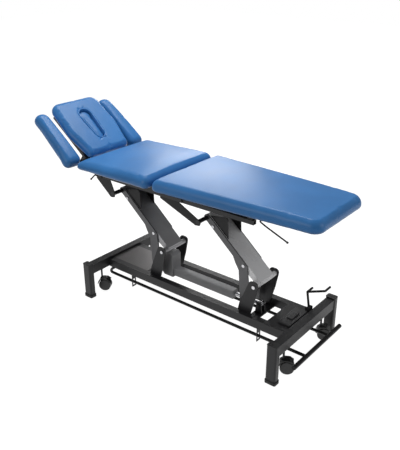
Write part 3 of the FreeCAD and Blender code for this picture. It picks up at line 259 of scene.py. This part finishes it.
# Outline with each corner rounded. A corner is (x, y, radius).
def round_outline(corners, step=0.006):
    points = []
    count = len(corners)
    for index, (x, y, radius) in enumerate(corners):
        corner = Vector((x, y))
        before = Vector(corners[index - 1][:2])
        after = Vector(corners[(index + 1) % count][:2])
        back = (before - corner).normalized()
        ahead = (after - corner).normalized()
        half = back.angle(ahead) / 2
        reach = radius / math.tan(half)
        start = corner + back * reach
        centre = corner + (back + ahead).normalized() * (radius / math.sin(half))
        sweep = math.pi - 2 * half
        turns = max(2, int(radius * sweep / step))
        first = start - centre
        sign = 1 if back.x * ahead.y - back.y * ahead.x < 0 else -1
        for turn in range(turns + 1):
            angle = sign * sweep * turn / turns
            spot = Vector((first.x * math.cos(angle) - first.y * math.sin(angle),
                           first.x * math.sin(angle) + first.y * math.cos(angle)))
            points.append(centre + spot)
    full = []
    for index, point in enumerate(points):
        full.append(point)
        after = points[(index + 1) % len(points)]
        parts = int((after - point).length / (step * 2))
        for part in range(1, parts):
            full.append(point.lerp(after, part / parts))
    return full


def inset(points, distance):
    moved = []
    count = len(points)
    for index, point in enumerate(points):
        way = points[(index + 1) % count] - points[index - 1]
        normal = Vector((way.y, -way.x)).normalized()
        moved.append(point - normal * distance)
    return moved


# Closed pad: the outline swept up a rounded side. top_radius and low_radius round its two edges.
def pad_mesh(name, points, low, high, top_radius, low_radius, steps=7):
    shape = bmesh.new()
    rings = []
    levels = []
    for step in range(steps + 1):
        angle = math.pi / 2 * step / steps
        levels.append((low_radius * (1 - math.sin(angle)), low + low_radius * (1 - math.cos(angle))))
    for step in range(steps + 1):
        angle = math.pi / 2 * step / steps
        levels.append((top_radius * (1 - math.cos(angle)), high - top_radius * (1 - math.sin(angle))))
    for distance, level in levels:
        rings.append([shape.verts.new((spot.x, spot.y, level)) for spot in inset(points, distance)])
    count = len(points)
    for lower, upper in zip(rings, rings[1:]):
        for index in range(count):
            after = (index + 1) % count
            shape.faces.new((lower[index], lower[after], upper[after], upper[index]))
    shape.faces.new(list(reversed(rings[0])))
    shape.faces.new(rings[-1])
    bmesh.ops.recalc_face_normals(shape, faces=shape.faces)
    mesh = bpy.data.meshes.new(name)
    shape.to_mesh(mesh)
    shape.free()
    piece = bpy.data.objects.new(name, mesh)
    scene.collection.objects.link(piece)
    return piece


def apply_modifiers(piece):
    bpy.context.view_layer.update()
    graph = bpy.context.evaluated_depsgraph_get()
    mesh = bpy.data.meshes.new_from_object(piece.evaluated_get(graph))
    old = piece.data
    piece.modifiers.clear()
    piece.data = mesh
    bpy.data.meshes.remove(old)


def remesh(piece, voxel):
    modifier = piece.modifiers.new("remesh", "REMESH")
    modifier.mode = "VOXEL"
    modifier.voxel_size = voxel
    apply_modifiers(piece)


def smooth(piece, rounds, factor=0.5):
    modifier = piece.modifiers.new("smooth", "SMOOTH")
    modifier.iterations = rounds
    modifier.factor = factor
    apply_modifiers(piece)


# Foam under a stretched cover: the cover is blown up a little and held close to its first shape.
def stuff(piece, cap, floor_level):
    before = [vertex.co.copy() for vertex in piece.data.vertices]
    modifier = piece.modifiers.new("cloth", "CLOTH")
    modifier.settings.quality = 4
    modifier.settings.use_pressure = True
    modifier.settings.uniform_pressure_force = 4
    modifier.settings.effector_weights.gravity = 0
    modifier.settings.tension_stiffness = 18
    modifier.settings.compression_stiffness = 18
    modifier.settings.bending_stiffness = 0.6
    modifier.point_cache.frame_start = 1
    modifier.point_cache.frame_end = 20
    for number in range(1, 21):
        scene.frame_set(number)
    apply_modifiers(piece)
    scene.frame_set(1)
    for start, vertex in zip(before, piece.data.vertices):
        step = vertex.co - start
        if step.length > cap:
            step *= cap / step.length
        vertex.co = start + step
        vertex.co.z = max(vertex.co.z, floor_level)


def shade_smooth(piece):
    for polygon in piece.data.polygons:
        polygon.use_smooth = True


# Foam is fullest in the middle: the top rises from the edges towards the centre of the pad.
def crown(piece, middle, rise):
    corners = [Vector(corner) for corner in piece.bound_box]
    centre = (corners[0] + corners[6]) / 2
    reach = (corners[6] - corners[0]) / 2
    for vertex in piece.data.vertices:
        if vertex.co.z > middle:
            along = (vertex.co.x - centre.x) / reach.x
            across = (vertex.co.y - centre.y) / reach.y
            vertex.co.z += rise * max(0.0, 1 - along ** 4) * max(0.0, 1 - across ** 2)


SLOPE = Matrix.Translation(HEAD_HINGE) @ Matrix.Rotation(HEAD_TILT, 4, "Y")


# Cover of a cushion: stuffed, held between its lowest and highest level, crowned, and put on its body.
def finish_cushion(piece, node, body, low, high, cap, on_slope=False, voxel=0.006, rise=0.0):
    remesh(piece, voxel)
    smooth(piece, 4)
    stuff(piece, cap, low)
    smooth(piece, 2)
    for vertex in piece.data.vertices:
        vertex.co.z = min(high, max(low, vertex.co.z))
    crown(piece, (low + high) / 2, rise)
    modifier = piece.modifiers.new("fine", "SUBSURF")
    modifier.levels = 1
    apply_modifiers(piece)
    shade_smooth(piece)
    if on_slope:
        piece.data.transform(SLOPE)
    piece.data.materials.append(MATERIALS["vinyl"])
    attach(piece, body)
    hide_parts(node)


# Black cloth stapled under a cushion, with the vinyl folded in round it.
def underside(name, outline, level, body, on_slope=False):
    piece = pad_mesh(name, inset(outline, 0.045), level - 0.0002, level + 0.002, 0.0005, 0.0005, 2)
    if on_slope:
        piece.data.transform(SLOPE)
    piece.data.materials.append(MATERIALS["base_cloth"])
    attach(piece, body)


# Sewn roll of vinyl that follows a closed outline on the head cushion.
def welt(name, outline, level, radius, body):
    shape = bmesh.new()
    sides = 10
    rings = []
    count = len(outline)
    for index, point in enumerate(outline):
        way = (outline[(index + 1) % count] - outline[index - 1]).normalized()
        out = Vector((way.y, -way.x, 0))
        ring = []
        for side in range(sides):
            angle = math.tau * side / sides
            up = level + radius * math.sin(angle)
            spot = Vector((point.x, point.y, up)) + out * radius * math.cos(angle)
            ring.append(shape.verts.new(spot))
        rings.append(ring)
    for index in range(count):
        ring, after = rings[index], rings[(index + 1) % count]
        for side in range(sides):
            beyond = (side + 1) % sides
            shape.faces.new((ring[side], ring[beyond], after[beyond], after[side]))
    bmesh.ops.recalc_face_normals(shape, faces=shape.faces)
    mesh = bpy.data.meshes.new(name)
    shape.to_mesh(mesh)
    shape.free()
    piece = bpy.data.objects.new(name, mesh)
    scene.collection.objects.link(piece)
    mesh.transform(SLOPE)
    shade_smooth(piece)
    mesh.materials.append(MATERIALS["vinyl"])
    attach(piece, body)


make_camera()
make_world()
make_floor()
make_lamp("above", (-0.9, 0.7, 3.3), (0.1, 0, 0.8), 2.0, 1.4, 50)
make_lamp("right", (3.4, 0.8, 1.9), (0.5, 0, 0.7), 1.6, 1.6, 13)
make_lamp("front", (-0.6, -3.6, 2.2), (0.0, 0, 0.6), 2.4, 1.6, 24)
make_lamp("back", (-2.6, 3.4, 2.4), (0.1, 0, 0.9), 1.3, 0.9, 24)

for record_part in frame["record"]["subparts"]:
    if record_part["node"] in nodes:
        dress(record_part["node"], record_part["material_slot"])
dress("head_arm_channel", "web_paint")
# The foot arm's web takes the near-white painted reflection; the head arm's web keeps the plain grey paint.
dress("foot_arm_channel", "painted_reflection_web_paint")
dress("head_end_cover", "cover_paint")
dress("frame_struts", "black_paint")

# Mid cushion: wider and thinner towards the head end
low = CUSHION_LOW
high = CUSHION_LOW + PAD_THICK
x0, x1 = BASE_X - 0.727, BASE_X - 0.162
outline = round_outline([(x0, -0.308, 0.030), (x1, -0.298, 0.034), (x1, 0.298, 0.034), (x0, 0.308, 0.030)])
piece = pad_mesh("mid_cushion_cover", outline, low, high - 0.003, 0.042, 0.022)
for vertex in piece.data.vertices:
    vertex.co.z = low + (vertex.co.z - low) * (1 - MID_FALL / PAD_THICK * (x1 - vertex.co.x) / (x1 - x0))
finish_cushion(piece, "mid_cushion", "top_frame", low, high - 0.002, 0.006, rise=0.010)
underside("mid_cushion_base", outline, low, "top_frame")

# Leg cushion
x0, x1 = BASE_X - 0.148, BASE_X + 0.848
x0, x1 = x0 + 0.002, x1 - 0.002
outline = round_outline([(x0, -0.299, 0.034), (x1, -0.235, 0.062), (x1, 0.235, 0.062), (x0, 0.299, 0.034)])
piece = pad_mesh("leg_cushion_cover", outline, low, high - 0.003, 0.042, 0.022)
finish_cushion(piece, "leg_cushion", "leg_section", low, high - 0.002, 0.006, rise=0.010)
underside("leg_cushion_base", outline, low, "leg_section")

# Head cushion, with its slot
corners = [(-0.428, -0.181, 0.062), (-0.190, -0.196, 0.16), (-0.004, -0.160, 0.034), (-0.004, 0.160, 0.034),
           (-0.190, 0.196, 0.16), (-0.428, 0.181, 0.062)]
low, high = HEAD_TOP - HEAD_THICK, HEAD_TOP
outline = round_outline(corners)
piece = pad_mesh("head_cushion_cover", outline, low, high - 0.003, 0.034, 0.020)
slot_corners = [(-0.106, -0.030, 0.026), (-0.106, 0.030, 0.026),
                (-0.330, 0.046, 0.042), (-0.330, -0.046, 0.042)]
slot_outline = round_outline(slot_corners)
cutter = pad_mesh("slot_cutter", slot_outline, low - 0.02, high + 0.02, 0.001, 0.001)
cut = piece.modifiers.new("slot", "BOOLEAN")
cut.object = cutter
cut.operation = "DIFFERENCE"
cut.solver = "EXACT"
apply_modifiers(piece)
bpy.data.objects.remove(cutter)
finish_cushion(piece, "head_cushion", "head_section", low, high, 0.004, on_slope=True, voxel=0.004)
welt("slot_welt", inset(slot_outline, -0.004), high - 0.0035, 0.0055, "head_section")

# Nose plug
corners = [(-0.1075, -0.0285, 0.025), (-0.1075, 0.0285, 0.025),
           (-0.3285, 0.0445, 0.041), (-0.3285, -0.0445, 0.041)]
piece = pad_mesh("nose_plug_cover", round_outline(corners), low + 0.004, high - 0.014, 0.012, 0.004)
finish_cushion(piece, "nose_plug", "nose_plug", low + 0.004, high - 0.010, 0.003, on_slope=True,
               voxel=0.004)

# Armrests
low, high = REST_TOP - REST_THICK, REST_TOP + REST_PROUD
for name, sign in (("near", -1), ("far", 1)):
    corners = [(-0.408, sign * 0.298, 0.045), (-0.408, sign * 0.204, 0.045), (-0.010, sign * 0.204, 0.036),
               (-0.010, sign * 0.325, 0.036)]
    if sign < 0:
        corners = corners[::-1]
    outline = round_outline(corners)
    piece = pad_mesh("armrest_cover_" + name, outline, low, high - 0.003, 0.036, 0.020)
    finish_cushion(piece, "armrest_cushion_" + name, "armrest_" + name, low, high - 0.002, 0.005,
                   on_slope=True, voxel=0.005, rise=0.007)
    underside("armrest_base_" + name, outline, low, "armrest_" + name, on_slope=True)
